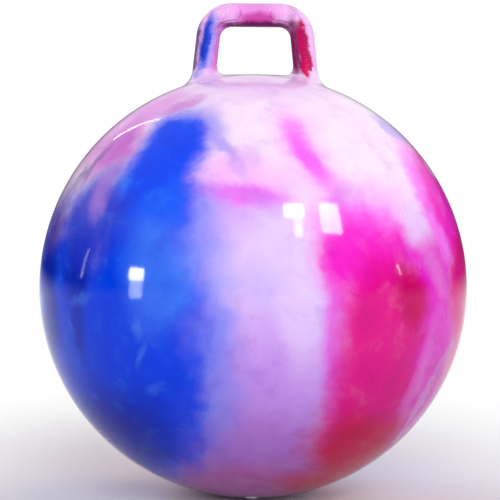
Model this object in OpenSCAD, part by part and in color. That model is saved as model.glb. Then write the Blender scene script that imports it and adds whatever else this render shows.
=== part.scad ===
// Hopper ball: an inflated vinyl ball with a hollow loop handle on flared roots and a push-in air plug.
// Origin: the middle of the flat that the ball settles on. +Z is up, and the valve side faces -Y.

/* [Ball] */
// Width of the inflated ball
ball_d = 450; // [380:5:560]
// Thickness of the stretched skin
skin_t = 1.1; // [0.8:0.1:2.5]
// How far the ball's own weight flattens its lower half
sag = 4; // [2:0.5:8]
// Depth of the flat that the ball settles on
settle = 2.2; // [1.2:0.2:4]

/* [Handle] */
// Outside diameter of the handle tube
tube_d = 25; // [20:1:30]
// Wall of the handle tube
tube_t = 2.4; // [1.6:0.2:4]
// Height of the hand bar's axis above the top of the ball
bar_rise = 64; // [56:1:90]
// Distance between the two leg axes at the height of the hand bar
bar_w = 95; // [85:1:130]
// Lean of each leg towards the other, in degrees
leg_lean = 6; // [0:1:10]
// Bend radius of the tube's axis at the upper corners
bend_r = 25; // [16:1:28]
// Length of each leg that shows inside the ball
leg_tail = 4; // [2:0.5:8]

/* [Root collars] */
// Reach of the flare up the leg
flare_up = 13; // [8:1:18]
// Reach of the flare out over the ball
flare_out = 13; // [8:1:18]
// Thickness of the flare at its two edges
collar_edge = 0.8; // [0.5:0.1:1.5]

/* [Valve seat] */
// Angle between the valve and the lowest point of the ball, in degrees
valve_tilt = 16; // [15:1:60]
// Wall of the seat's barrel around the stem
seat_wall = 4; // [3.6:0.2:7]
// Length of the seat's barrel
seat_l = 15; // [10:1:20]
// Reach of the inner flange beyond the barrel
flange_reach = 6; // [3:0.5:12]
// Thickness of the inner flange
flange_t = 2.2; // [1:0.2:4]
// Depth of the recess that takes the plug's head
recess = 1.2; // [0.6:0.2:2]

/* [Valve plug] */
// Diameter of the stem over its sealing rings
stem_d = 8; // [6:0.5:12]
// Length of the stem below the head
stem_l = 19; // [14:1:26]
// Depth of the grooves between the sealing rings
groove = 0.6; // [0.3:0.1:1]
// Width of one sealing ring
ring_w = 2.4; // [1.5:0.1:2.8]
// How far the head reaches beyond the stem all round
head_reach = 2; // [1.5:0.25:3]
// Height of the head at its middle
head_h = 2.8; // [2:0.2:4]
// Height of the head's crown above its edge
crown = 0.8; // [0.4:0.1:1.2]

/* [Fits] */
// Gap between two pieces that are welded together
weld_gap = 0.1; // [0.05:0.05:0.2]
// Radial clearance of the stem in its seat
stem_play = 0.05; // [0.02:0.01:0.1]
// Radial clearance of the head in its recess
head_play = 0.3; // [0.3:0.05:0.6]

/* [Hidden] */
$fn = 96;
ball_fn = 240;
ball_r = ball_d / 2;
belly_r = ball_r + sag / 2;
ball_z = ball_r - sag - settle;
belly_z = ball_z + belly_r - ball_r + sag;
tube_r = tube_d / 2;
bar_z = ball_z + ball_r + bar_rise;
bend_t = bend_r / tan(45 + leg_lean / 2);
bend_lap = 0.5;
bend_swell = 0.03;
// The ball's centre as a leg sees it, from the end of the hand bar's axis
seen_x = -bar_w / 2 * cos(leg_lean) - (bar_z - ball_z) * sin(leg_lean);
seen_z = bar_w / 2 * sin(leg_lean) - (bar_z - ball_z) * cos(leg_lean);
seen = [seen_x, 0, seen_z];
leg_end = skin_z(tube_r, 0, ball_r - skin_t) - leg_tail;
collar_sides = 48;
collar_rings = 8;
collar_sink = 3;
stem_r = stem_d / 2;
head_r = stem_r + head_reach;
barrel_r = stem_r + seat_wall;
ring_step = (stem_l - ring_w) / 3;
crown_r = (pow(head_r, 2) + pow(crown, 2)) / (2 * crown);
over = 1;

// Height at which a line beside the leg's axis meets a ball of radius rho
function skin_z(r, turn, rho) =
    seen_z + sqrt(pow(rho, 2) - pow(r * cos(turn) - seen_x, 2) - pow(r * sin(turn), 2));

function unit(v) = v / norm(v);

// Corner between the leg and the ball, which the flare rounds off
function flare_foot(turn) =
    let (r = tube_r + collar_edge)
    [r * cos(turn), r * sin(turn), skin_z(r, turn, ball_r + collar_edge)];

function flare_top(turn) = flare_foot(turn) + [0, 0, flare_up];

// Point on the ball where the flare runs out
function flare_rim(turn) =
    let (foot = flare_foot(turn))
    let (normal = unit(foot - seen))
    let (away = [cos(turn), sin(turn), 0])
    let (along = unit(away - (away * normal) * normal))
    seen + (ball_r + collar_edge) * unit(foot + flare_out * along - seen);

function flare_sunk(turn) = seen + (ball_r - collar_sink) * unit(flare_rim(turn) - seen);

function flare_point(turn, t) =
    pow(1 - t, 2) * flare_top(turn) + 2 * t * (1 - t) * flare_foot(turn) + t * t * flare_rim(turn);

module at_right_leg() {
    translate([bar_w / 2, 0, bar_z])
        rotate([0, -leg_lean, 0])
            children();
}

module at_valve() {
    translate([0, 0, belly_z])
        rotate([180 - valve_tilt, 0, 0])
            children();
}

// The ball's outside, or the same shape moved inwards
module envelope(inset) {
    intersection() {
        translate([0, 0, ball_z])
            sphere(r = ball_r - inset, $fn = ball_fn);
        translate([0, 0, belly_z])
            sphere(r = belly_r - inset, $fn = ball_fn);
        translate([-ball_d, -ball_d, inset])
            cube(2 * ball_d);
    }
}

module leg_hole() {
    at_right_leg()
        translate([0, 0, leg_end])
            cylinder(r = tube_r + weld_gap, h = -leg_end);
}

module ball_skin() {
    color([0.72, 0.52, 0.88])
        difference() {
            envelope(0);
            envelope(skin_t);
            leg_hole();
            mirror([1, 0, 0])
                leg_hole();
            at_valve()
                translate([0, 0, belly_r - seat_l])
                    cylinder(r = barrel_r + weld_gap, h = seat_l + over);
        }
}

// One leg and the bend above it, which swells a little so that the straight tube ends inside it
module leg_and_bend(r, longer) {
    at_right_leg()
        translate([0, 0, leg_end - longer])
            cylinder(r = r, h = bend_lap - bend_t - leg_end + longer);
    translate([bar_w / 2 - bend_t, 0, bar_z - bend_r])
        rotate([90, 0, 0])
            rotate([0, 0, leg_lean])
                rotate_extrude(angle = 90 - leg_lean)
                    translate([bend_r, 0])
                        circle(r = r + bend_swell);
}

module handle_run(r, longer) {
    leg_and_bend(r, longer);
    mirror([1, 0, 0])
        leg_and_bend(r, longer);
    translate([bend_t - bar_w / 2 - bend_lap, 0, bar_z])
        rotate([0, 90, 0])
            cylinder(r = r, h = bar_w - 2 * bend_t + 2 * bend_lap);
}

module loop_handle() {
    color([0.90, 0.55, 0.80])
        difference() {
            handle_run(tube_r, 0);
            handle_run(tube_r - tube_t, over);
        }
}

// The flare as a closed lump, before the ball and the leg are taken out of it
module flare_lump() {
    turns = [for (i = [0:collar_sides - 1]) 360 * i / collar_sides];
    curve = [for (k = [0:collar_rings]) for (turn = turns) flare_point(turn, k / collar_rings)];
    sunk = [for (turn = turns) flare_sunk(turn)];
    low = [0, 0, skin_z(0, 0, ball_r - 2 * collar_sink)];
    high = [0, 0, skin_z(0, 0, ball_r + collar_edge) + flare_up];
    points = concat(curve, sunk, [low, high]);
    bottom = (collar_rings + 1) * collar_sides;
    low_i = len(points) - 2;
    high_i = len(points) - 1;
    function next(i) = (i + 1) % collar_sides;
    walls = [
        for (k = [0:collar_rings]) for (i = [0:collar_sides - 1])
            each [
                [k * collar_sides + i, k * collar_sides + next(i), (k + 1) * collar_sides + next(i)],
                [k * collar_sides + i, (k + 1) * collar_sides + next(i), (k + 1) * collar_sides + i]
            ]
    ];
    caps = [
        for (i = [0:collar_sides - 1])
            each [[high_i, next(i), i], [low_i, bottom + i, bottom + next(i)]]
    ];
    polyhedron(points = points, faces = concat(walls, caps));
}

module right_collar() {
    at_right_leg()
        difference() {
            flare_lump();
            translate(seen)
                rotate([0, 0, 180])
                    sphere(r = ball_r + weld_gap, $fn = ball_fn);
            translate([0, 0, leg_end])
                cylinder(r = tube_r + weld_gap, h = -leg_end);
        }
}

module right_root_collar() {
    color([0.84, 0.50, 0.82])
        right_collar();
}

module left_root_collar() {
    color([0.62, 0.48, 0.90])
        mirror([1, 0, 0])
            right_collar();
}

module valve_seat() {
    inner_r = belly_r - skin_t - weld_gap;
    color([0.80, 0.70, 0.90])
        at_valve()
            difference() {
                union() {
                    intersection() {
                        translate([0, 0, belly_r - seat_l])
                            cylinder(r = barrel_r, h = seat_l + over);
                        sphere(r = belly_r, $fn = ball_fn);
                    }
                    difference() {
                        intersection() {
                            translate([0, 0, belly_r - seat_l])
                                cylinder(r = barrel_r + flange_reach, h = seat_l);
                            sphere(r = inner_r, $fn = ball_fn);
                        }
                        sphere(r = inner_r - flange_t, $fn = ball_fn);
                    }
                }
                translate([0, 0, belly_r - seat_l - over])
                    cylinder(r = stem_r + stem_play, h = seat_l + 2 * over);
                translate([0, 0, belly_r - recess])
                    cylinder(r = head_r + head_play, h = recess + over);
            }
}

module valve_plug() {
    color([0.97, 0.86, 0.94])
        at_valve()
            translate([0, 0, belly_r - recess]) {
                intersection() {
                    cylinder(r = head_r, h = head_h);
                    translate([0, 0, head_h - crown_r])
                        sphere(r = crown_r);
                }
                translate([0, 0, -stem_l])
                    cylinder(r = stem_r - groove, h = stem_l);
                for (i = [0:2])
                    translate([0, 0, -ring_w - i * ring_step])
                        cylinder(r = stem_r, h = ring_w);
                translate([0, 0, -stem_l])
                    cylinder(r1 = stem_r - 2 * groove, r2 = stem_r, h = ring_w);
            }
}

ball_skin();
loop_handle();
left_root_collar();
right_root_collar();
valve_seat();
valve_plug();
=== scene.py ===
"""Hopper ball: marbled vinyl ball, loop handle with ribbed panels, flared roots and air plug."""

import math

import bpy
import numpy as np
from mathutils import Matrix, Vector


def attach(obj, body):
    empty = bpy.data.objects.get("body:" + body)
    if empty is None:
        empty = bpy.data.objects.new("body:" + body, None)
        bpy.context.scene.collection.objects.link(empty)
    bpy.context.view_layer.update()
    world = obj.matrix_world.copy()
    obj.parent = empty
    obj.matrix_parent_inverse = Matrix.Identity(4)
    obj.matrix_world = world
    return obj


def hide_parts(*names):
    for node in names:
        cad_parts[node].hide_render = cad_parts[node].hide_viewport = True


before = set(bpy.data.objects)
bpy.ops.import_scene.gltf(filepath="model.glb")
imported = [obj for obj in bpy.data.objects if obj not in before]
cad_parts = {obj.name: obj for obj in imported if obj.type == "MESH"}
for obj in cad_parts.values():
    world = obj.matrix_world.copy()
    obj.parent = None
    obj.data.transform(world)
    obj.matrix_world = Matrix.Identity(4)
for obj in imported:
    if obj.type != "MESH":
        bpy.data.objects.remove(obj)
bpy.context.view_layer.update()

MM = 0.001

# Ball, as in the CAD part: a ball, and the wider belly that its lower half sags into
BALL_R = 225 * MM
BALL_Z = 218.8 * MM
BALL_CENTRE = (0, 0, BALL_Z)
BELLY_R = 227 * MM
BELLY_Z = 224.8 * MM
SKIN_T = 1.1 * MM
# Width over which the belly runs into the ball above it and into the flat below it
BELLY_BLEND = 1.6 * MM
FLOOR_BLEND = 0.7 * MM
# Mesh of the skin: fine rings near the valve and the flat, wider ones up to the top
BALL_SIDES = 288
NEAR_RINGS = 120
NEAR_ANGLE = math.radians(50)
FAR_RINGS = 150
FAR_ANGLE = math.radians(179.6)

# Handle, as in the CAD part
TUBE_R = 12.5 * MM
BAR_Z = 507.8 * MM
BAR_W = 95 * MM
LEG_LEAN = math.radians(6)
BEND_R = 25 * MM
BEND_T = BEND_R / math.tan(math.radians(45) + LEG_LEAN / 2)
LEG_END = 81.4 * MM
HANDLE_SIDES = 112

# Ribbed grip panels on the front and back of each leg and corner
PANEL_HALF = 7.0 * MM
PANEL_RISE = 1.0 * MM
PANEL_EDGE = 0.7 * MM
PANEL_LOW = 66 * MM
PANEL_BAR_END = 16 * MM
MOAT_DEPTH = 1.5 * MM
RIB_PITCH = 2.1 * MM
RIB_RISE = 0.7 * MM
RIB_SAMPLES = 6

# Flares at the handle's roots, as in the CAD part
FLARE_UP = 13 * MM
FLARE_OUT = 13 * MM
FLARE_R = TUBE_R - 0.05 * MM
FLARE_SINK = 0.12 * MM
FLARE_SIDES = 128
FLARE_RINGS = 40
# Steps in which the foot of the flare is moved down to the skin
FLARE_STEPS = 8

# Low ridge of the skin that joins the two roots: full up to one distance, gone at the other
RIDGE_ALONG = (44 * MM, 80 * MM)
RIDGE_ACROSS = (6 * MM, 40 * MM)

# Air valve, as in the CAD part
VALVE_TILT = math.radians(16)
SEAT_R = 8 * MM
SEAT_L = 15 * MM
FLANGE_R = 14 * MM
FLANGE_T = 2.2 * MM
RECESS = 1.2 * MM
RECESS_R = 6.3 * MM
BORE_R = 4.05 * MM
STEM_R = 4 * MM
STEM_L = 19 * MM
GROOVE = 0.6 * MM
RING_W = 2.4 * MM
HEAD_R = 6 * MM
HEAD_H = 2.8 * MM
CROWN = 0.8 * MM
# Laps, play and rounding of the valve's dressed pieces
SKIN_LAP = 0.2 * MM
SEAT_SINK = 0.15 * MM
SEAT_PLAY = 0.25 * MM
FLANGE_PLAY = 0.3 * MM
FLANGE_DROP = 0.45 * MM
RING_PLAY = 0.02 * MM
TIP_PLAY = 0.05 * MM
RING_SLOPE = 0.4 * MM
SEAT_ROUND = 0.4 * MM
PLUG_ROUND = 0.35 * MM
# Radius at which a lathed end is closed by a fan
HUB_R = 0.3 * MM

# Light that the world gives: its level, and how much it rises towards the front and the ceiling
WORLD_LEVEL = 0.40
WORLD_SWING = 0.18
WORLD_WAY = (0.10, -0.86, 0.50)
WHITE = (1, 1, 1, 1)

# Floor: its colour to the viewer and to the light, and where it runs out to white
FLOOR_HALF = 30.0
FLOOR_Z = -0.2 * MM
FLOOR_SEEN = (0.82, 0.80, 0.82, 1)
FLOOR_LIT = (0.42, 0.34, 0.44, 1)
FLOOR_FADE = (0.2, 0.6)
FLOOR_STRETCH = (1.0, 0.5, 1.0)

# Curtain round the stage: dark between two heights, fading to white below and above
CURTAIN_R = 3.0
CURTAIN_SIDES = 96
CURTAIN_LOW = 0.3
CURTAIN_HIGH = 0.8
CURTAIN_TOP = 1.8
CURTAIN_DARK = 0.03

# Camera of the photograph
CAMERA_D = 1.5
CAMERA_RISE = math.radians(0.5)
CAMERA_AIM = Vector((-0.0036, 0.0, 0.2586))
CAMERA_LENS = 101.6
CAMERA_ROLL = math.radians(0.5)
SENSOR_WIDTH = 36.0

# Lamps that light the object but aren't mirrored in it: name, two ends, brightness
SOFTBOXES = [
    ("key_softbox", (-0.3, -2.4, 1.2), (1.3, -2.4, 1.2), 5.2),
    ("left_softbox", (-2.42, 0.78, 1.16), (-1.48, 2.08, 1.16), 3.3),
    ("right_softbox", (2.42, 0.78, 1.16), (1.48, 2.08, 1.16), 3.3),
]

# Window panes and strips that only gloss shows: name, two ends, width, brightness
WINDOWS = [
    ("window_left_pane", (0.68, -1.55, 1.76), (0.70, -1.64, 1.48), 0.36, 56.0),
    ("window_left_foot", (0.76, -1.66, 1.46), (0.79, -1.80, 1.16), 0.15, 36.0),
    ("window_right_pane", (1.24, -1.21, 1.69), (1.28, -1.42, 1.16), 0.37, 52.0),
    ("side_window", (-1.87, -1.11, 0.55), (-1.87, -1.11, 0.35), 0.32, 80.0),
    ("side_window_foot", (-1.87, -1.11, 0.35), (-1.87, -1.11, 0.05), 0.28, 22.0),
    ("roof_strip", (-1.08, 1.41, 1.30), (-0.93, 0.98, 1.84), 0.03, 12.0),
    ("left_strip", (-2.09, 0.13, 0.68), (-2.12, 0.24, 0.31), 0.03, 14.0),
    ("right_strip", (2.08, -0.51, 0.59), (2.11, -0.45, 0.43), 0.04, 24.0),
]


# ---------------------------------------------------------------- meshes


def mesh_piece(name, verts, faces, body, nodes):
    """A smooth mesh that stands for CAD nodes and rides on their body."""
    mesh = bpy.data.meshes.new(name)
    mesh.from_pydata(verts, [], faces)
    mesh.validate()
    mesh.shade_smooth()
    piece = bpy.data.objects.new(name, mesh)
    bpy.context.scene.collection.objects.link(piece)
    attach(piece, body)
    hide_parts(*nodes)
    return piece


def skin_rings(rings, close_start=False, close_end=False):
    """Vertices and faces of a skin over closed rings of points, with fans over its ends."""
    count, sides, _ = rings.shape
    verts = rings.reshape(-1, 3).tolist()
    faces = []
    for k in range(count - 1):
        for i in range(sides):
            j = (i + 1) % sides
            faces.append((k * sides + i, k * sides + j, (k + 1) * sides + j, (k + 1) * sides + i))
    for wanted, k in ((close_start, 0), (close_end, count - 1)):
        if wanted:
            verts.append(rings[k].mean(axis=0).tolist())
            hub = len(verts) - 1
            for i in range(sides):
                edge = (k * sides + i, k * sides + (i + 1) % sides)
                faces.append((hub,) + (edge[::-1] if k == 0 else edge))
    return verts, faces


def soft_min(a, b, blend):
    """The smaller of two values, with a rounded corner where they cross."""
    return 0.5 * (a + b - np.sqrt((a - b) ** 2 + blend**2))


def smooth(low, high, value):
    """0 below low, rising smoothly to 1 at high."""
    t = np.clip((value - low) / (high - low), 0, 1)
    return t * t * (3 - 2 * t)


def valve_frame():
    """The valve's axis, pointing out of the ball, and two directions across it."""
    axis = np.array([0, -math.sin(VALVE_TILT), -math.cos(VALVE_TILT)])
    across = np.array([1.0, 0, 0])
    return axis, across, np.cross(axis, across)


def ball_radius(way):
    """Distance from the belly's centre to the skin, along unit vectors."""
    up = way[..., 2]
    drop = BELLY_Z - BALL_Z
    upper = -drop * up + np.sqrt(BALL_R**2 - drop**2 + (drop * up) ** 2)
    reach = soft_min(upper, BELLY_R, BELLY_BLEND)
    floor = BELLY_Z / np.maximum(-up, 1e-3)
    return soft_min(reach, floor, FLOOR_BLEND)


def ridge_rise(x, y):
    """Height that the ridge between the roots adds to the ball, at places seen from above."""
    level = BALL_R - np.sqrt(np.maximum(BALL_R**2 - x**2, 0))
    along = 1 - smooth(*RIDGE_ALONG, np.abs(x))
    across = 1 - smooth(*RIDGE_ACROSS, np.abs(y))
    return level * along * across


def top_height(x, y):
    """Height of the upper skin at places seen from above."""
    return BALL_Z + np.sqrt(BALL_R**2 - x**2 - y**2) + ridge_rise(x, y)


def build_ball():
    """The skin, in rings round the valve, from the turned-in edge of its hole to the far side."""
    axis, across, aside = valve_frame()
    hole = math.asin((SEAT_R - SKIN_LAP) / BELLY_R)
    near = np.linspace(hole, NEAR_ANGLE, NEAR_RINGS)
    far = np.linspace(NEAR_ANGLE, FAR_ANGLE, FAR_RINGS)[1:]
    angles = np.concatenate([near, far])
    turns = np.linspace(0, 2 * math.pi, BALL_SIDES, endpoint=False)
    spread = np.cos(turns)[:, None] * across + np.sin(turns)[:, None] * aside
    way = np.cos(angles)[:, None, None] * axis + np.sin(angles)[:, None, None] * spread[None]
    rings = way * ball_radius(way)[..., None]
    edge = rings[:1] - SKIN_T * axis
    rings = np.concatenate([edge, rings]) + np.array([0, 0, BELLY_Z])
    upper = rings[..., 2] > BALL_Z
    rings[..., 2] += np.where(upper, ridge_rise(rings[..., 0], rings[..., 1]), 0)
    verts, faces = skin_rings(rings, close_end=True)
    return mesh_piece("ball_skin_vinyl", verts, faces, "ball", ["ball_skin"])


def handle_path(step):
    """Points of the handle's axis from the left root to the right one, and the way outwards."""
    corner_x = BAR_W / 2 - BEND_T
    lean_x, lean_z = math.sin(LEG_LEAN), math.cos(LEG_LEAN)
    down = np.arange(LEG_END, BEND_T, -step)
    leg = [((BAR_W / 2 + t * lean_x, BAR_Z - t * lean_z), (lean_z, lean_x)) for t in down]
    turns = np.arange(LEG_LEAN, math.pi / 2, step / BEND_R)
    ways = [(math.cos(a), math.sin(a)) for a in turns]
    bend = [((corner_x + BEND_R * x, BAR_Z - BEND_R + BEND_R * z), (x, z)) for x, z in ways]
    bar = [((x, BAR_Z), (0.0, 1.0)) for x in np.arange(corner_x, 0, -step)]
    right = leg + bend + bar
    left = [((-p[0], p[1]), (-n[0], n[1])) for p, n in right]
    run = left + [((0.0, BAR_Z), (0.0, 1.0))] + right[::-1]
    points = np.array([[p[0], 0, p[1]] for p, _ in run])
    outward = np.array([[n[0], 0, n[1]] for _, n in run])
    return points, outward


def panel_rise(along, around, root_s, bar_s):
    """Height of a grip panel over the tube: a ribbed strip with a fine groove round it."""
    middle = np.clip(along, root_s + PANEL_HALF, bar_s - PANEL_HALF)
    inside = PANEL_HALF - np.hypot(along - middle, around)
    raised = smooth(-PANEL_EDGE / 2, PANEL_EDGE / 2, inside)
    moat = np.exp(-(((inside + PANEL_EDGE) / PANEL_EDGE) ** 2))
    ribs = 0.5 + 0.5 * np.cos(2 * math.pi * along / RIB_PITCH)
    ribbed = smooth(0.6 * PANEL_EDGE, 1.8 * PANEL_EDGE, inside)
    return PANEL_RISE * raised - MOAT_DEPTH * moat - RIB_RISE * ribs * ribbed


def build_handle():
    """The tube of the handle, with its four grip panels raised out of it."""
    points, outward = handle_path(RIB_PITCH / RIB_SAMPLES)
    gaps = np.linalg.norm(np.diff(points, axis=0), axis=1)
    along = np.concatenate([[0], np.cumsum(gaps)])
    middle = along[-1] / 2
    from_bar = np.abs(along - middle)[:, None]
    leg_top = middle - LEG_END + PANEL_LOW
    turns = np.linspace(0, 2 * math.pi, HANDLE_SIDES, endpoint=False)[None]
    front = np.array([0, -1.0, 0])
    rise = np.zeros((len(points), turns.shape[1]))
    for face in (0, math.pi):
        off = (turns - face + math.pi) % (2 * math.pi) - math.pi
        rise = rise + panel_rise(-from_bar, TUBE_R * off, -leg_top, -PANEL_BAR_END)
    radius = TUBE_R + rise
    section = np.cos(turns)[..., None] * front + np.sin(turns)[..., None] * outward[:, None]
    rings = points[:, None] + radius[..., None] * section
    verts, faces = skin_rings(rings, close_start=True, close_end=True)
    return mesh_piece("loop_handle_vinyl", verts, faces, "ball", ["loop_handle"])


def build_flare(name, side):
    """The flared root of one leg: a curve swept round the leg, tangent to leg and ball."""
    lean_x, lean_z = math.sin(LEG_LEAN), math.cos(LEG_LEAN)
    up = np.array([-lean_x, 0, lean_z])
    out = np.array([lean_z, 0, lean_x])
    forth = np.array([0, 1.0, 0])
    turns = np.linspace(0, 2 * math.pi, FLARE_SIDES, endpoint=False)
    away = np.cos(turns)[:, None] * out + np.sin(turns)[:, None] * forth
    foot = np.array([BAR_W / 2, 0, BAR_Z]) + FLARE_R * away
    for _ in range(FLARE_STEPS):
        over = foot[:, 2] - top_height(foot[:, 0], foot[:, 1])
        foot = foot - (over / lean_z)[:, None] * up
    rim = foot + FLARE_OUT * away
    rim[:, 2] = top_height(rim[:, 0], rim[:, 1]) - FLARE_SINK
    top = foot + FLARE_UP * up
    t = np.linspace(0, 1, FLARE_RINGS)[:, None, None]
    rings = (1 - t) ** 2 * top + 2 * t * (1 - t) * foot + t**2 * rim
    rings = rings * np.array([side, 1, 1])
    if side < 0:
        rings = rings[:, ::-1]
    verts, faces = skin_rings(rings)
    return mesh_piece(name + "_vinyl", verts, faces, "ball", [name])


def rounded_profile(corners, radius, steps=5):
    """A lathe profile with each inner corner rounded off."""
    corners = [np.array(c, dtype=float) for c in corners]
    profile = [corners[0]]
    for before, corner, after in zip(corners, corners[1:], corners[2:]):
        back, ahead = before - corner, after - corner
        cut = min(radius, 0.45 * np.linalg.norm(back), 0.45 * np.linalg.norm(ahead))
        a = corner + cut * back / np.linalg.norm(back)
        b = corner + cut * ahead / np.linalg.norm(ahead)
        for t in np.linspace(0, 1, steps):
            profile.append((1 - t) ** 2 * a + 2 * t * (1 - t) * corner + t**2 * b)
    profile.append(corners[-1])
    return np.array(profile)


def lathe(profile, sides=72):
    """Rings of a profile of (radius, height) turned about the valve's axis."""
    axis, across, aside = valve_frame()
    turns = np.linspace(0, 2 * math.pi, sides, endpoint=False)
    spread = np.cos(turns)[:, None] * across + np.sin(turns)[:, None] * aside
    base = np.array([0, 0, BELLY_Z])
    return base + profile[:, 1, None, None] * axis + profile[:, 0, None, None] * spread[None]


def build_seat():
    """The thick boss that grips the plug: its face in the skin, its bore and its inner flange."""
    face = BELLY_R - SEAT_SINK
    low = BELLY_R - SEAT_L
    under = BELLY_R - SKIN_T - FLANGE_PLAY
    profile = [
        (BORE_R, low),
        (BORE_R, BELLY_R - RECESS),
        (RECESS_R, BELLY_R - RECESS),
        (RECESS_R, face),
        (SEAT_R - SEAT_PLAY, face),
        (SEAT_R - SEAT_PLAY, under),
        (FLANGE_R, under - FLANGE_DROP),
        (FLANGE_R, under - FLANGE_T),
        (SEAT_R, under - FLANGE_T + FLANGE_PLAY),
        (SEAT_R, low),
        (BORE_R, low),
    ]
    rings = lathe(rounded_profile(profile, SEAT_ROUND))
    verts, faces = skin_rings(rings[:-1])
    return mesh_piece("valve_seat_vinyl", verts, faces, "ball", ["valve_seat"])


def build_plug():
    """The push-in stopper: domed head, stem with three sealing rings and a tapered end."""
    seat = BELLY_R - RECESS
    step = (STEM_L - RING_W) / 3
    profile = [(HUB_R, seat - STEM_L), (STEM_R - 2 * GROOVE, seat - STEM_L)]
    profile.append((STEM_R - TIP_PLAY, seat - STEM_L + RING_W))
    for i in (2, 1, 0):
        low = seat - RING_W - i * step
        high = low + RING_W - 0.75 * RING_SLOPE
        profile.append((STEM_R - GROOVE, low - RING_SLOPE))
        profile.append((STEM_R - RING_PLAY, low))
        profile.append((STEM_R - RING_PLAY, high))
        if i:
            profile.append((STEM_R - GROOVE, high + RING_SLOPE))
    profile.append((HEAD_R, seat + RING_PLAY))
    profile.append((HEAD_R, seat + HEAD_H - CROWN))
    for share in (0.75, 0.5, 0.25):
        profile.append((share * HEAD_R, seat + HEAD_H - CROWN * share**2))
    profile.append((HUB_R, seat + HEAD_H))
    rings = lathe(rounded_profile(profile, PLUG_ROUND))
    verts, faces = skin_rings(rings, close_start=True, close_end=True)
    return mesh_piece("valve_plug_vinyl", verts, faces, "plug", ["valve_plug"])


# ---------------------------------------------------------------- materials


def add(tree, kind, inputs=None, **settings):
    """A new node with its settings, and its inputs linked or set."""
    made = tree.nodes.new(kind)
    for key, value in settings.items():
        setattr(made, key, value)
    for key, value in (inputs or {}).items():
        if isinstance(value, bpy.types.NodeSocket):
            tree.links.new(value, made.inputs[key])
        else:
            made.inputs[key].default_value = value
    return made


def maths(tree, operation, a, b=0.0):
    """The result of a sum on one or two values, each linked or set."""
    return add(tree, "ShaderNodeMath", {0: a, 1: b}, operation=operation).outputs[0]


def vector_maths(tree, operation, inputs):
    """The vector that a sum on vectors gives."""
    return add(tree, "ShaderNodeVectorMath", inputs, operation=operation).outputs["Vector"]


def vector_length(tree, vector):
    return add(tree, "ShaderNodeVectorMath", {0: vector}, operation="LENGTH").outputs["Value"]


def object_place(tree):
    """The place on a piece, in the metres of the shared frame."""
    return add(tree, "ShaderNodeTexCoord").outputs["Object"]


def blend_colour(tree, share, under, over, blend="MIX"):
    """One colour laid over another by a share, each linked or set."""
    mix = add(tree, "ShaderNodeMix", data_type="RGBA", blend_type=blend)
    for socket, value in ((mix.inputs[0], share), (mix.inputs[6], under), (mix.inputs[7], over)):
        if isinstance(value, bpy.types.NodeSocket):
            tree.links.new(value, socket)
        else:
            socket.default_value = (*value, 1) if isinstance(value, tuple) else value
    return mix.outputs[2]


def fractal(tree, place, scale, detail, roughness):
    """Fractal noise about zero."""
    noise = add(
        tree,
        "ShaderNodeTexNoise",
        {"Vector": place, "Scale": scale, "Detail": detail, "Roughness": roughness},
    )
    return maths(tree, "SUBTRACT", noise.outputs["Fac"], 0.5)


def ramp(tree, value, low, high, top):
    """0 below low, rising smoothly to top at high."""
    inputs = {"Value": value, "From Min": low, "From Max": high, "To Min": 0.0, "To Max": top}
    return add(tree, "ShaderNodeMapRange", inputs, interpolation_type="SMOOTHSTEP").outputs[0]


def rgb(red, green, blue):
    """A colour written in 0 to 255 screen values, as the linear one that shaders take."""
    shares = (red / 255, green / 255, blue / 255)
    return tuple(s / 12.92 if s <= 0.04045 else ((s + 0.055) / 1.055) ** 2.4 for s in shares)


# Pigments of the ball, some of them also used for painted shade and painted highlights
PINK_WHITE = rgb(251, 226, 253)
LILAC = rgb(226, 200, 253)
PERIWINKLE = rgb(136, 142, 250)
ORCHID_LILAC = rgb(200, 142, 244)
# Dusty rose and purple: partly painted shade, darkening and warming the bottom of the front
DUSTY_ROSE_SHADE = rgb(206, 108, 184)
PURPLE_SHADE = rgb(172, 104, 206)
PINK_LILAC = rgb(236, 174, 248)
ROSE = rgb(248, 176, 248)
ORCHID_PINK = rgb(226, 138, 230)
HOT_PINK = rgb(253, 112, 248)
ORCHID = rgb(232, 118, 240)
MAUVE = rgb(206, 108, 212)
WISP = rgb(206, 158, 246)
LAVENDER = rgb(168, 148, 244)
PALE_LILAC = rgb(233, 208, 253)
COOL_LILAC = rgb(202, 186, 252)
PINK_WISP = rgb(240, 160, 232)
HEATHER = rgb(170, 122, 222)
DUSK = rgb(112, 76, 160)
BLUE = rgb(0, 70, 246)
AZURE = rgb(20, 100, 255)
SKY = rgb(66, 126, 252)
NAVY = rgb(0, 28, 172)
INDIGO = rgb(38, 60, 214)
MAGENTA = rgb(247, 38, 204)
FRINGE = rgb(232, 92, 232)
CERISE = rgb(231, 16, 142)
RED_ROSE = rgb(214, 8, 86)
CRIMSON = rgb(206, 4, 104)
VIOLET = rgb(236, 32, 206)

# Mottle: scale, detail and roughness of its noise, how far off the middle a blotch is full, what a
# deeper blotch is multiplied by and what a paler one adds, and the most that each is laid on
BLOTCHES = (8.0, 6.0, 0.6)
BLOTCH_SPAN = 0.2
DEEPER = (0.74, 0.6, 0.84)
DEEPER_MOST = 0.45
PALER = (0.014, 0.065, 0.04)
PALER_MOST = 0.7

# Folds that noise gives a place: scale, push and detail of each
BALL_FOLDS = ((2.0, 0.07, 1.0), (6.0, 0.08, 4.0), (16.0, 0.03, 2.0))
FINE_FOLDS = ((20.0, 0.03, 2.0),)
HANDLE_FOLDS = ((60.0, 6 * MM, 2.0), (200.0, 1.5 * MM, 2.0))
FOLD_ROUGHNESS = 0.55

# Raggedness of pigment edges: scale, detail and roughness of its noise, and its strength
BALL_RAGS = ((6.0, 6.0, 0.6), 0.6)
HANDLE_RAGS = ((120.0, 4.0, 0.6), 0.8)

# Depth of a cloud into the ball: a least depth, and a share of its larger half size
CLOUD_DEPTH = 0.5
CLOUD_DEPTH_SHARE = 0.6

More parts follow.
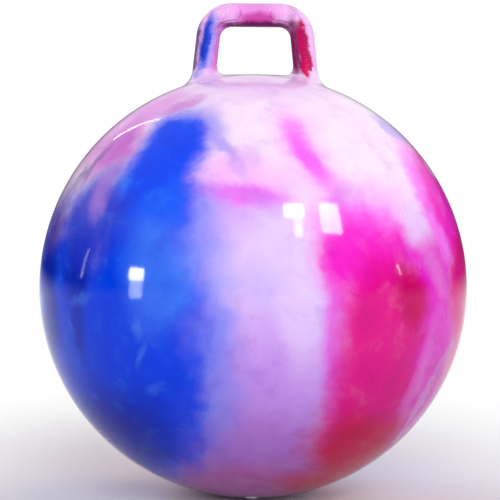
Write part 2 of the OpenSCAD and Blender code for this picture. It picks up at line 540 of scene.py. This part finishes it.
# Front clouds higher than this also colour the roots of the handle
ROOT_UP = 0.95

# Lower than that of real vinyl, so that white surroundings wash out the colours less
VINYL_IOR = 1.24


def seen_point(across, up, back):
    """Point of the unit ball that the camera sees at a place on its face, in apparent radii."""
    eye = Vector((0, CAMERA_D if back else -CAMERA_D, CAMERA_AIM.z - BALL_Z)) / BALL_R
    wide = 1 / math.sqrt(1 - (BALL_R / CAMERA_D) ** 2)
    ray = Vector((wide * across, 0, wide * up)) - eye
    a, b, c = ray.dot(ray), ray.dot(eye), eye.dot(eye) - 1
    inside = b * b - a * c
    t = (-b - math.sqrt(max(inside, 0))) / a
    return (eye + t * ray).normalized()


# Pigment clouds of the ball, some of them partly painted shade and some painted highlights: place
# across and up its face, half width, half height, roll in degrees (positive leans the top to the
# right), softness of the edge, strength, colour
FRONT_CLOUDS = [
    # Pale middle, from pink above to purple below; the orchid lilac, purple and dusty rose below
    # are partly painted shade
    (0.000, -0.049, 0.421, 0.551, 0, 0.9, 1.0, LILAC),
    (0.019, -0.657, 0.458, 0.439, 0, 1.1, 0.8, ORCHID_LILAC),
    (0.009, -0.815, 0.458, 0.234, 0, 1.2, 0.6, PURPLE_SHADE),
    (0.000, -0.942, 0.439, 0.140, 0, 1.1, 0.8, DUSTY_ROSE_SHADE),
    (0.220, -0.058, 0.093, 0.243, 0, 1.2, 0.7, PALE_LILAC),
    (0.042, 0.012, 0.103, 0.084, 0, 1.2, 0.5, COOL_LILAC),
    (0.000, 0.988, 0.421, 0.121, 0, 1.0, 0.5, PINK_LILAC),
    # Pink and orchid drift between the blue and the pale top
    (-0.098, 0.502, 0.215, 0.117, 8, 1.2, 0.75, ROSE),
    (-0.168, 0.329, 0.150, 0.098, 0, 1.2, 0.6, WISP),
    (-0.056, 0.442, 0.173, 0.047, 8, 1.1, 0.95, ORCHID),
    (0.061, 0.376, 0.075, 0.037, 20, 1.2, 0.5, WISP),
    # Smoke beside the top of the blue
    (-0.229, 0.764, 0.084, 0.103, -25, 1.2, 0.8, LAVENDER),
    (-0.145, 0.685, 0.023, 0.070, -40, 1.2, 0.7, LAVENDER),
    (-0.084, 0.586, 0.028, 0.079, -35, 1.2, 0.5, WISP),
    # Soft right side of the blue band
    (-0.322, 0.259, 0.117, 0.206, 8, 1.2, 0.8, PERIWINKLE),
    (-0.271, -0.058, 0.140, 0.262, -6, 1.3, 0.85, PERIWINKLE),
    (-0.229, -0.456, 0.140, 0.308, -3, 1.3, 0.85, PERIWINKLE),
    # Blue band from the top to the lower left
    (-0.369, 0.680, 0.126, 0.150, 12, 0.8, 1.0, BLUE),
    (-0.280, 0.675, 0.065, 0.070, 0, 1.2, 0.8, BLUE),
    (-0.439, 0.549, 0.154, 0.178, 20, 0.9, 1.0, BLUE),
    (-0.500, 0.386, 0.154, 0.206, 18, 1.0, 1.0, BLUE),
    (-0.561, 0.199, 0.164, 0.206, 10, 1.1, 1.0, BLUE),
    (-0.593, -0.012, 0.248, 0.234, 0, 1.1, 1.0, BLUE),
    (-0.640, -0.269, 0.322, 0.327, 0, 1.0, 1.0, BLUE),
    (-0.593, -0.549, 0.304, 0.327, -8, 1.0, 1.0, BLUE),
    (-0.537, -0.759, 0.238, 0.206, -25, 1.1, 1.0, BLUE),
    (-0.902, -0.199, 0.196, 0.561, 0, 0.8, 1.0, BLUE),
    (-0.435, -0.269, 0.150, 0.224, 0, 1.2, 0.9, BLUE),
    (-0.388, -0.535, 0.131, 0.234, -4, 1.2, 0.8, BLUE),
    (-0.463, 0.072, 0.121, 0.215, -5, 1.2, 0.8, SKY),
    (-0.818, 0.100, 0.061, 0.140, 8, 1.2, 0.85, NAVY),
    (-0.822, -0.171, 0.033, 0.121, 0, 1.2, 0.6, NAVY),
    (-0.631, -0.713, 0.262, 0.206, -30, 1.2, 0.75, NAVY),
    (-0.953, -0.082, 0.042, 0.355, 0, 1.2, 0.8, NAVY),
    # Upper left: indigo side, pink rim, mauve patch
    (-0.752, 0.306, 0.140, 0.215, 20, 0.9, 0.95, INDIGO),
    (-0.579, 0.820, 0.150, 0.360, 52, 0.5, 1.0, ROSE),
    (-0.472, 0.829, 0.056, 0.168, 62, 1.2, 0.7, ORCHID_PINK),
    (-0.659, 0.638, 0.075, 0.145, 48, 1.0, 1.0, MAUVE),
    (-0.696, 0.451, 0.037, 0.126, 17, 1.2, 0.8, HEATHER),
    (-0.911, 0.306, 0.042, 0.121, 14, 1.2, 0.6, DUSK),
    # Pink diagonal in the pale upper right
    (0.238, 0.652, 0.084, 0.215, -28, 1.2, 0.6, ROSE),
    (0.252, 0.638, 0.047, 0.164, -28, 1.2, 1.0, HOT_PINK),
    # Magenta band, redder below, violet on its right
    (0.509, 0.376, 0.224, 0.112, -4, 1.2, 0.75, ROSE),
    (0.509, 0.297, 0.196, 0.093, 6, 1.2, 0.9, HOT_PINK),
    (0.397, -0.208, 0.061, 0.523, 0, 1.2, 0.85, FRINGE),
    (0.827, -0.161, 0.159, 0.430, 4, 0.9, 1.0, VIOLET),
    (0.743, -0.535, 0.150, 0.243, 26, 0.9, 1.0, VIOLET),
    (0.748, 0.194, 0.121, 0.065, 25, 1.1, 0.9, VIOLET),
    (0.514, 0.138, 0.196, 0.187, 0, 0.8, 1.0, MAGENTA),
    (0.598, -0.199, 0.182, 0.318, 4, 0.8, 1.0, CERISE),
    (0.547, -0.535, 0.187, 0.290, 12, 0.8, 1.0, CERISE),
    (0.500, -0.769, 0.234, 0.187, 24, 1.0, 1.0, RED_ROSE),
    (0.350, -0.923, 0.215, 0.084, 10, 1.1, 0.9, RED_ROSE),
    (0.738, -0.044, 0.065, 0.150, -12, 1.2, 1.0, CRIMSON),
    (0.771, 0.292, 0.065, 0.084, -30, 1.2, 0.7, PALE_LILAC),
    # Stripe down the right edge
    (0.836, 0.386, 0.051, 0.355, -25, 1.1, 0.9, HOT_PINK),
    (0.907, 0.339, 0.061, 0.374, -25, 0.8, 1.0, MAGENTA),
    (0.972, -0.012, 0.061, 0.271, 0, 0.9, 1.0, CERISE),
    (0.935, -0.376, 0.061, 0.280, 20, 0.9, 0.95, CERISE),
]

# Fine wisps and streaks of the front, written in the same way; among them painted shade along a
# crease low on the left, and small painted highlights in sky blue
DETAIL_CLOUDS = [
    (-0.379, 0.423, 0.051, 0.093, 20, 1.2, 0.6, AZURE),
    (-0.593, 0.465, 0.028, 0.051, 15, 1.2, 0.6, AZURE),
    (-0.481, 0.371, 0.037, 0.056, 15, 1.2, 0.6, AZURE),
    # Painted shade along a crease, low on the left
    (-0.491, -0.759, 0.112, 0.014, 5, 1.2, 0.6, NAVY),
    # Painted highlights: small pale sky-blue streaks on the blue band
    (-0.542, -0.147, 0.014, 0.042, 0, 1.4, 0.7, SKY),
    (-0.523, -0.306, 0.014, 0.056, 8, 1.4, 0.6, SKY),
    (-0.472, -0.460, 0.033, 0.023, -30, 1.4, 0.5, SKY),
    (-0.808, -0.054, 0.042, 0.019, -15, 1.4, 0.5, SKY),
    (-0.771, 0.558, 0.019, 0.121, 38, 1.2, 0.7, DUSK),
    (-0.322, 0.853, 0.084, 0.023, -22, 1.2, 0.7, MAUVE),
    (0.855, 0.100, 0.033, 0.121, -25, 1.6, 0.45, PINK_WISP),
    (0.836, -0.269, 0.033, 0.159, 12, 1.6, 0.3, PINK_WISP),
    (0.752, -0.479, 0.028, 0.150, 20, 1.6, 0.4, PINK_WISP),
    (0.780, -0.544, 0.019, 0.196, 27, 1.2, 0.7, PINK_WISP),
    (0.626, 0.745, 0.023, 0.093, -50, 1.2, 0.7, LAVENDER),
]

# Clouds of the back, which the photograph doesn't show, placed as seen from behind
BACK_CLOUDS = [
    (0.10, 0.10, 0.34, 0.60, 15, 0.9, 1.0, LILAC),
    (0.05, -0.66, 0.44, 0.40, 0, 1.0, 0.8, ORCHID_LILAC),
    (0.36, 0.10, 0.12, 0.50, -10, 1.0, 0.7, PERIWINKLE),
    (0.55, 0.22, 0.20, 0.60, -14, 0.5, 1.0, BLUE),
    (0.42, -0.45, 0.28, 0.40, 10, 0.6, 1.0, BLUE),
    (0.62, -0.15, 0.10, 0.25, 10, 1.0, 0.8, SKY),
    (0.85, -0.25, 0.14, 0.50, 0, 0.7, 1.0, VIOLET),
    (-0.26, 0.10, 0.08, 0.50, 14, 1.0, 0.8, FRINGE),
    (-0.42, 0.30, 0.20, 0.38, 24, 0.6, 1.0, MAGENTA),
    (-0.55, -0.20, 0.24, 0.46, -8, 0.6, 1.0, CERISE),
    (-0.30, -0.68, 0.26, 0.24, -30, 0.7, 1.0, RED_ROSE),
    (-0.82, 0.10, 0.14, 0.50, 8, 0.7, 1.0, INDIGO),
    (-0.10, 0.62, 0.06, 0.26, 38, 1.0, 0.9, HOT_PINK),
    (0.05, -0.22, 0.18, 0.07, 12, 1.1, 0.9, ORCHID),
]

# Bands of the right side, which the photograph doesn't show either, placed as seen from that side
SIDE_CLOUDS = [
    (0.16, 0.02, 0.15, 0.78, 6, 1.0, 0.95, LILAC),
    (0.10, -0.62, 0.16, 0.24, -10, 1.1, 0.8, ORCHID_LILAC),
    (0.34, 0.05, 0.08, 0.56, 6, 1.2, 0.85, PERIWINKLE),
    (0.48, 0.02, 0.14, 0.62, 4, 0.8, 1.0, INDIGO),
    (0.54, -0.16, 0.10, 0.42, -4, 1.0, 0.9, BLUE),
    (0.14, 0.30, 0.05, 0.22, 40, 1.2, 0.8, ORCHID),
]


def warped(tree, place, folds):
    """A place pushed about by noise, so that pigment edges run and fold."""
    for scale, push, detail in folds:
        noise = add(
            tree,
            "ShaderNodeTexNoise",
            {"Vector": place, "Scale": scale, "Detail": detail, "Roughness": FOLD_ROUGHNESS},
        )
        centred = vector_maths(tree, "SUBTRACT", {0: noise.outputs["Color"], 1: (0.5, 0.5, 0.5)})
        shift = vector_maths(tree, "SCALE", {0: centred, "Scale": push})
        place = vector_maths(tree, "ADD", {0: place, 1: shift})
    return place


def rags(tree, place, noise, strength):
    """How far the edges of pigment clouds run in or out at a place."""
    return maths(tree, "MULTIPLY", fractal(tree, place, *noise), strength)


def cloud_share(tree, place, ragged, centre, radii, roll, soft, strength):
    """How much of one cloud lies at a place: an ellipsoid with a soft, ragged edge."""
    turn = (0, math.radians(roll), 0)
    local = add(
        tree,
        "ShaderNodeMapping",
        {"Vector": place, "Location": centre, "Rotation": turn, "Scale": radii},
        vector_type="TEXTURE",
    )
    far = vector_length(tree, local.outputs["Vector"])
    return ramp(tree, maths(tree, "ADD", far, ragged), 1 + soft / 2, 1 - soft / 2, strength)


def mottled(tree, place, colour):
    """Deeper and paler blotches, where the pigments have not fully mixed."""
    blotch = fractal(tree, place, *BLOTCHES)
    deeper = ramp(tree, blotch, 0.0, BLOTCH_SPAN, DEEPER_MOST)
    paler = ramp(tree, blotch, 0.0, -BLOTCH_SPAN, PALER_MOST)
    colour = blend_colour(tree, deeper, colour, DEEPER, "MULTIPLY")
    return blend_colour(tree, paler, colour, PALER, "ADD")


def ball_place(tree):
    """The folded place on the ball in ball radii, and the raggedness of pigment edges there."""
    local = add(
        tree,
        "ShaderNodeMapping",
        {"Vector": object_place(tree), "Location": BALL_CENTRE, "Scale": (BALL_R, BALL_R, BALL_R)},
        vector_type="TEXTURE",
    )
    place = warped(tree, local.outputs["Vector"], BALL_FOLDS)
    return place, rags(tree, place, *BALL_RAGS)


def clouded(tree, place, ragged, colour, clouds, back=False):
    """A colour with pigment clouds of the front or the back laid over it."""
    for across, up, wide, high, roll, soft, strength, pigment in clouds:
        centre = seen_point(across, up, back)
        radii = (wide, CLOUD_DEPTH + CLOUD_DEPTH_SHARE * max(wide, high), high)
        share = cloud_share(tree, place, ragged, centre, radii, roll, soft, strength)
        colour = blend_colour(tree, share, colour, pigment)
    return colour


def ball_colour(tree):
    """Marbled pigment of the ball, with painted shade low on the front and small painted
    highlights.

    All but the front's large clouds lie on a place that is folded once more: with 82 clouds on one
    place the ball renders black, probably because the shader runs out of stack.
    """
    place, ragged = ball_place(tree)
    colour = clouded(tree, place, ragged, PINK_WHITE, FRONT_CLOUDS)
    fine = warped(tree, place, FINE_FOLDS)
    colour = clouded(tree, fine, ragged, colour, DETAIL_CLOUDS)
    colour = clouded(tree, fine, ragged, colour, BACK_CLOUDS, back=True)
    turn = {"Vector": fine, "Angle": -math.pi / 2}
    from_right = add(tree, "ShaderNodeVectorRotate", turn, rotation_type="Z_AXIS")
    colour = clouded(tree, from_right.outputs["Vector"], ragged, colour, SIDE_CLOUDS)
    return mottled(tree, place, colour)


def root_colour(tree):
    """Pigment of the handle's roots: that of the ball's top, with the ends of the legs' streaks,
    whose dark sides are partly painted shade.
    """
    place, ragged = ball_place(tree)
    top = [cloud for cloud in FRONT_CLOUDS if cloud[1] > ROOT_UP]
    colour = mottled(tree, place, clouded(tree, place, ragged, PINK_WHITE, top))
    return streaked(tree, place, ragged, colour, STREAK_CLOUDS, BALL_R, BALL_CENTRE)


def vinyl(name, colour_of, roughness, bump_scale, bump_height):
    """A glossy soft vinyl whose colour comes from colour_of, with a fine moulded unevenness."""
    material = bpy.data.materials.new(name)
    material.use_nodes = True
    tree = material.node_tree
    shader = tree.nodes["Principled BSDF"]
    tree.links.new(colour_of(tree), shader.inputs["Base Color"])
    shader.inputs["Roughness"].default_value = roughness
    shader.inputs["IOR"].default_value = VINYL_IOR
    place = object_place(tree)
    noise = add(tree, "ShaderNodeTexNoise", {"Vector": place, "Scale": bump_scale, "Detail": 2.0})
    bump = add(
        tree,
        "ShaderNodeBump",
        {"Height": noise.outputs["Fac"], "Strength": 1.0, "Distance": bump_height},
    )
    tree.links.new(bump.outputs[0], shader.inputs["Normal"])
    return material


# Pigment and painted shade of the handle: place in millimetres, half sizes, roll, softness,
# strength, colour
HANDLE_PINK = rgb(246, 192, 245)
HANDLE_CLOUDS = [
    # Hand bar: pink, magenta in the middle, dark below, the dark partly painted shade under the bar
    ((0, -6, 509), (24, 16, 14), 0, 1.0, 0.8, rgb(236, 138, 226)),
    ((2, -6, 502), (20, 16, 8), 0, 1.0, 0.9, rgb(206, 60, 164)),
    ((0, 0, 495), (48, 20, 5.5), 0, 0.9, 1.0, rgb(112, 22, 88)),
]

# Streaks down the legs and out over their roots, written in the same way
STREAK_CLOUDS = [
    # Left leg: mauve inner edge, dark outer edge of painted shade and painted reflection, blue
    # front
    ((-40, 0, 472), (6, 16, 40), 7, 1.0, 0.8, rgb(208, 96, 200)),
    ((-65, 0, 470), (6.5, 16, 46), 7, 1.0, 1.0, rgb(112, 80, 146)),
    ((-49.5, -12, 474), (7.0, 9, 34), 10, 1.1, 0.8, rgb(140, 150, 244)),
    ((-52.0, -12, 477), (5.0, 9, 29), 10, 0.8, 1.0, rgb(38, 78, 224)),
    ((-54.0, -12, 474), (2.4, 9, 24), 9, 1.1, 0.5, rgb(10, 34, 160)),
    ((-59.0, -12, 446), (3.6, 9, 12), 8, 1.0, 0.7, rgb(150, 156, 244)),
    # Right leg: dark inner side, partly painted shade, red front
    ((43, 0, 466), (9.5, 20, 44), -7, 0.8, 1.0, rgb(132, 24, 94)),
    ((53.0, -12, 464), (6.2, 9, 38), -10, 0.5, 1.0, rgb(190, 0, 92)),
    ((56.0, -12, 446), (2.6, 9, 16), -9, 1.0, 0.8, rgb(226, 16, 96)),
]


def streaked(tree, place, ragged, colour, clouds, unit=1.0, origin=(0, 0, 0)):
    """A colour with the handle's clouds over it, at places in a unit of length from an origin."""
    for centre, radii, roll, soft, strength, pigment in clouds:
        centre = [(c * MM - o) / unit for c, o in zip(centre, origin)]
        radii = [r * MM / unit for r in radii]
        share = cloud_share(tree, place, ragged, centre, radii, roll, soft, strength)
        colour = blend_colour(tree, share, colour, pigment)
    return colour


def handle_colour(tree):
    """Pigment of the handle: pale pink with a streak down each leg and a magenta hand bar, with
    painted shade under the bar and on the legs' dark sides.
    """
    place = warped(tree, object_place(tree), HANDLE_FOLDS)
    ragged = rags(tree, place, *HANDLE_RAGS)
    colour = streaked(tree, place, ragged, HANDLE_PINK, HANDLE_CLOUDS)
    return streaked(tree, place, ragged, colour, STREAK_CLOUDS)


def plain_colour(pale, deep):
    """A colouring that clouds softly between two tones."""

    def colour_of(tree):
        place = {"Vector": object_place(tree), "Scale": 90.0, "Detail": 3.0}
        noise = add(tree, "ShaderNodeTexNoise", place)
        return blend_colour(tree, noise.outputs["Fac"], deep, pale)

    return colour_of


# ---------------------------------------------------------------- stage


def shown_to_viewer(tree):
    """1 for rays that show a surface to the camera, also in a mirror or through glass."""
    path = add(tree, "ShaderNodeLightPath")
    seen = maths(tree, "ADD", path.outputs["Is Camera Ray"], path.outputs["Is Glossy Ray"])
    seen = maths(tree, "ADD", seen, path.outputs["Is Transmission Ray"])
    return maths(tree, "MINIMUM", seen, 1.0)


def mix_shaders(tree, share, first, second):
    """The first shader, giving way to the second by a share."""
    inputs = {0: share, 1: first.outputs[0], 2: second.outputs[0]}
    return add(tree, "ShaderNodeMixShader", inputs)


def bare_material(name):
    """A new material without nodes, and its tree."""
    material = bpy.data.materials.new(name)
    material.use_nodes = True
    material.node_tree.nodes.clear()
    return material, material.node_tree


def end_material(tree, shader):
    out = add(tree, "ShaderNodeOutputMaterial")
    tree.links.new(shader.outputs[0], out.inputs["Surface"])


def stage_piece(name, verts, faces, material):
    """A mesh that belongs to the stage and not to the part."""
    mesh = bpy.data.meshes.new(name)
    mesh.from_pydata(verts, [], faces)
    mesh.materials.append(material)
    piece = bpy.data.objects.new(name, mesh)
    bpy.context.scene.collection.objects.link(piece)
    return piece


def build_world():
    """White to the viewer; as a light it is brighter overhead and in front, like a ceiling."""
    world = bpy.data.worlds.new("studio")
    bpy.context.scene.world = world
    world.use_nodes = True
    tree = world.node_tree
    tree.nodes.clear()
    way = {0: add(tree, "ShaderNodeTexCoord").outputs["Generated"], 1: WORLD_WAY}
    facing = add(tree, "ShaderNodeVectorMath", way, operation="DOT_PRODUCT").outputs["Value"]
    rise = {0: facing, 1: WORLD_SWING, 2: WORLD_LEVEL}
    level = add(tree, "ShaderNodeMath", rise, operation="MULTIPLY_ADD").outputs[0]
    light = add(tree, "ShaderNodeBackground", {"Color": WHITE, "Strength": level})
    white = add(tree, "ShaderNodeBackground", {"Color": WHITE, "Strength": 1.0})
    mix = mix_shaders(tree, shown_to_viewer(tree), light, white)
    out = add(tree, "ShaderNodeOutputWorld")
    tree.links.new(mix.outputs[0], out.inputs["Surface"])


def floor_paint():
    """Pale near the object and white further out; to the light it is duller."""
    material, tree = bare_material("floor_paint")
    lit = add(tree, "ShaderNodeBsdfDiffuse", {"Color": FLOOR_LIT})
    pale = add(tree, "ShaderNodeBsdfDiffuse", {"Color": FLOOR_SEEN})
    glow = add(tree, "ShaderNodeEmission", {"Color": WHITE, "Strength": 1.0})
    place = vector_maths(tree, "MULTIPLY", {0: object_place(tree), 1: FLOOR_STRETCH})
    fade = ramp(tree, vector_length(tree, place), *FLOOR_FADE, 1.0)
    seen = mix_shaders(tree, fade, pale, glow)
    top = mix_shaders(tree, shown_to_viewer(tree), lit, seen)
    under = add(tree, "ShaderNodeNewGeometry").outputs["Backfacing"]
    clear = add(tree, "ShaderNodeBsdfTransparent")
    end_material(tree, mix_shaders(tree, under, top, clear))
    return material


def build_floor():
    """A floor that keeps the shadow and runs out to white; from below it is see-through."""
    signs = ((-1, -1), (1, -1), (1, 1), (-1, 1))
    corners = [(x * FLOOR_HALF, y * FLOOR_HALF, FLOOR_Z) for x, y in signs]
    stage_piece("floor", corners, [(0, 1, 2, 3)], floor_paint())


def curtain_cloth():
    """Dark between two heights, and fading to white at the floor and at the top."""
    material, tree = bare_material("curtain_cloth")
    height = add(tree, "ShaderNodeSeparateXYZ", {0: object_place(tree)}).outputs["Z"]
    low = ramp(tree, height, CURTAIN_LOW, 0.0, 1.0)
    high = ramp(tree, height, CURTAIN_HIGH, CURTAIN_TOP, 1.0)
    level = maths(tree, "ADD", maths(tree, "ADD", low, high), CURTAIN_DARK)
    end_material(tree, add(tree, "ShaderNodeEmission", {"Color": WHITE, "Strength": level}))
    return material


def build_curtain():
    """A curtain round the stage that only gloss shows; floor and ceiling stay white to it."""
    turns = np.linspace(0, 2 * math.pi, CURTAIN_SIDES, endpoint=False)
    foot = CURTAIN_R * np.stack([np.cos(turns), np.sin(turns), np.zeros_like(turns)], axis=1)
    rings = np.stack([foot, foot + np.array([0, 0, CURTAIN_TOP])])
    curtain = stage_piece("curtain", *skin_rings(rings), curtain_cloth())
    curtain.visible_camera = False
    curtain.visible_diffuse = False
    curtain.visible_transmission = False
    curtain.visible_shadow = False


def aim(obj, target):
    """Turns a camera to look at a target."""
    obj.rotation_euler = (Vector(target) - obj.location).to_track_quat("-Z", "Y").to_euler()


def lamp(name, start, end, width, radiance):
    """A rectangular lamp from start to end, turned to the ball, of a given brightness."""
    start, end = Vector(start), Vector(end)
    data = bpy.data.lights.new(name, "AREA")
    data.shape = "RECTANGLE"
    data.size, data.size_y = (end - start).length, width
    data.energy = radiance * math.pi * data.size * data.size_y
    obj = bpy.data.objects.new(name, data)
    bpy.context.scene.collection.objects.link(obj)
    obj.location = (start + end) / 2
    along = (end - start).normalized()
    back = obj.location - Vector(BALL_CENTRE)
    back = (back - back.dot(along) * along).normalized()
    obj.rotation_euler = Matrix((along, back.cross(along), back)).transposed().to_euler()
    obj.visible_camera = False
    return obj


def build_lamps():
    """Softboxes that only light, and windows that only gloss shows."""
    for name, start, end, radiance in SOFTBOXES:
        side = (Vector(end) - Vector(start)).length
        lamp(name, start, end, side, radiance).visible_glossy = False
    for name, start, end, width, radiance in WINDOWS:
        lamp(name, start, end, width, radiance).visible_diffuse = False


def build_camera():
    """The camera of the photograph, in front and a little above the middle."""
    data = bpy.data.cameras.new("camera")
    data.lens = CAMERA_LENS
    data.sensor_width = SENSOR_WIDTH
    camera = bpy.data.objects.new("camera", data)
    bpy.context.scene.collection.objects.link(camera)
    back = Vector((0, -math.cos(CAMERA_RISE), math.sin(CAMERA_RISE)))
    camera.location = CAMERA_AIM + CAMERA_D * back
    aim(camera, CAMERA_AIM)
    camera.rotation_euler.rotate_axis("Z", CAMERA_ROLL)
    bpy.context.scene.camera = camera


def build_object():
    """The six pieces in their vinyls."""
    smooth_skin = {"roughness": 0.07, "bump_scale": 9.0, "bump_height": 0.3 * MM}
    satin_grain = {"bump_scale": 300.0, "bump_height": 0.05 * MM}
    seat_colour = plain_colour(rgb(214, 180, 236), rgb(182, 140, 220))
    plug_colour = plain_colour(rgb(248, 222, 240), rgb(236, 196, 226))
    ball_paint = vinyl("ball_vinyl_paint", ball_colour, **smooth_skin)
    root_paint = vinyl("root_vinyl_paint", root_colour, **smooth_skin)
    handle_paint = vinyl("handle_vinyl_paint", handle_colour, roughness=0.24, **satin_grain)
    seat_paint = vinyl("seat_vinyl_paint", seat_colour, roughness=0.25, **satin_grain)
    plug_paint = vinyl("plug_vinyl_paint", plug_colour, roughness=0.3, **satin_grain)
    build_ball().data.materials.append(ball_paint)
    build_handle().data.materials.append(handle_paint)
    build_flare("left_root_collar", -1).data.materials.append(root_paint)
    build_flare("right_root_collar", 1).data.materials.append(root_paint)
    build_seat().data.materials.append(seat_paint)
    build_plug().data.materials.append(plug_paint)


build_object()
build_world()
build_floor()
build_curtain()
build_lamps()
build_camera()
bpy.context.scene.view_settings.view_transform = "Standard"
